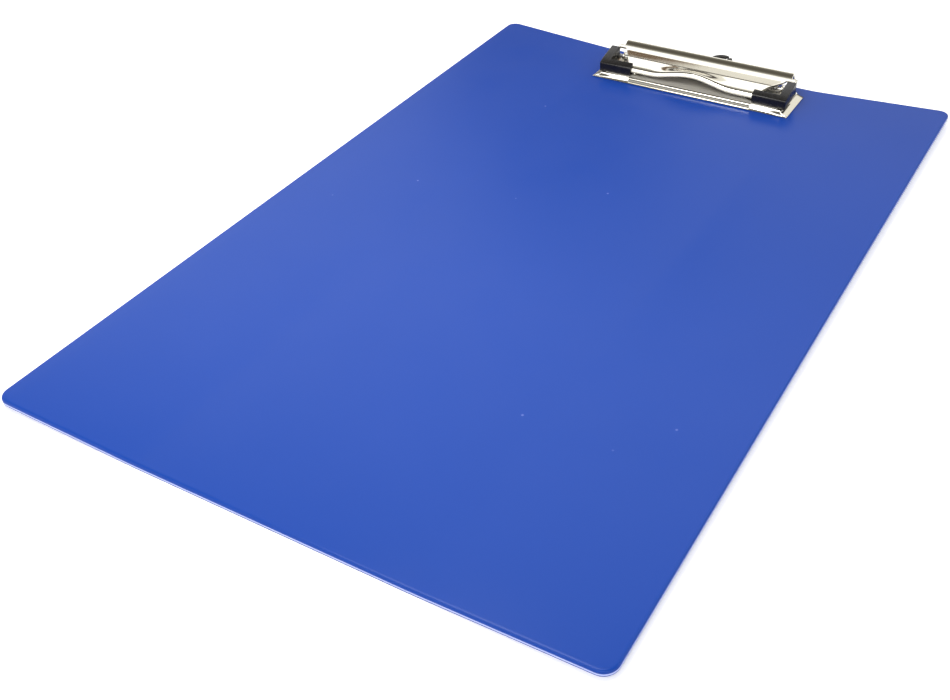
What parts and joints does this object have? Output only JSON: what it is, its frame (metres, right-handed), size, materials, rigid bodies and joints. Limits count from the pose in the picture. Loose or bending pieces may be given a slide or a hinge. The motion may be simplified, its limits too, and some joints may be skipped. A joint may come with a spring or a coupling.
{
  "type": "clipboard",
  "caption": "Film-covered A4 clipboard with a low-profile sprung lever clip, corner grips and a hanging hook that slides out behind the clip.",
  "frame": {"origin": "centre of the flat middle of the board's underside", "axes": "+X to the right when facing the clip end, +Y along the board towards the clip, +Z out of the writing face"},
  "size_m": [0.23, 0.3557, 0.0122],
  "materials": {
    "greyboard": "matte",
    "front_film": "satin",
    "back_film": "satin",
    "nickel_plate": "polished",
    "rivet_steel": "polished",
    "axle_steel": "drawn",
    "spring_wire": "drawn",
    "black_grip": "semi-gloss",
    "black_hook": "semi-gloss"
  },
  "bodies": {
    "board": {"core_board": "greyboard", "front_film": "front_film", "back_film": "back_film", "base_plate": "nickel_plate", "rivet_left": "rivet_steel", "rivet_right": "rivet_steel", "axle_pin": "axle_steel", "spring_left": "spring_wire", "spring_right": "spring_wire"},
    "jaw": {"jaw_plate": "nickel_plate", "corner_cap_left": "black_grip", "corner_cap_right": "black_grip"},
    "hook": {"hanger_hook": "black_hook"}
  },
  "joints": [
    {"name": "jaw_hinge", "type": "hinge", "parent": "board", "child": "jaw", "pos_m": [0, 0.1545, 0.0069], "axis": [-1, 0, 0], "range_deg": [0, 14], "stiffness_Nm_per_rad": 0.35, "springref_deg": -34.38, "deforming": ["spring_left", "spring_right"]},
    {"name": "hook_slide", "type": "slide", "parent": "board", "child": "hook", "axis": [0, 1, 0], "range_m": [-0.0145, 0]}
  ]
}
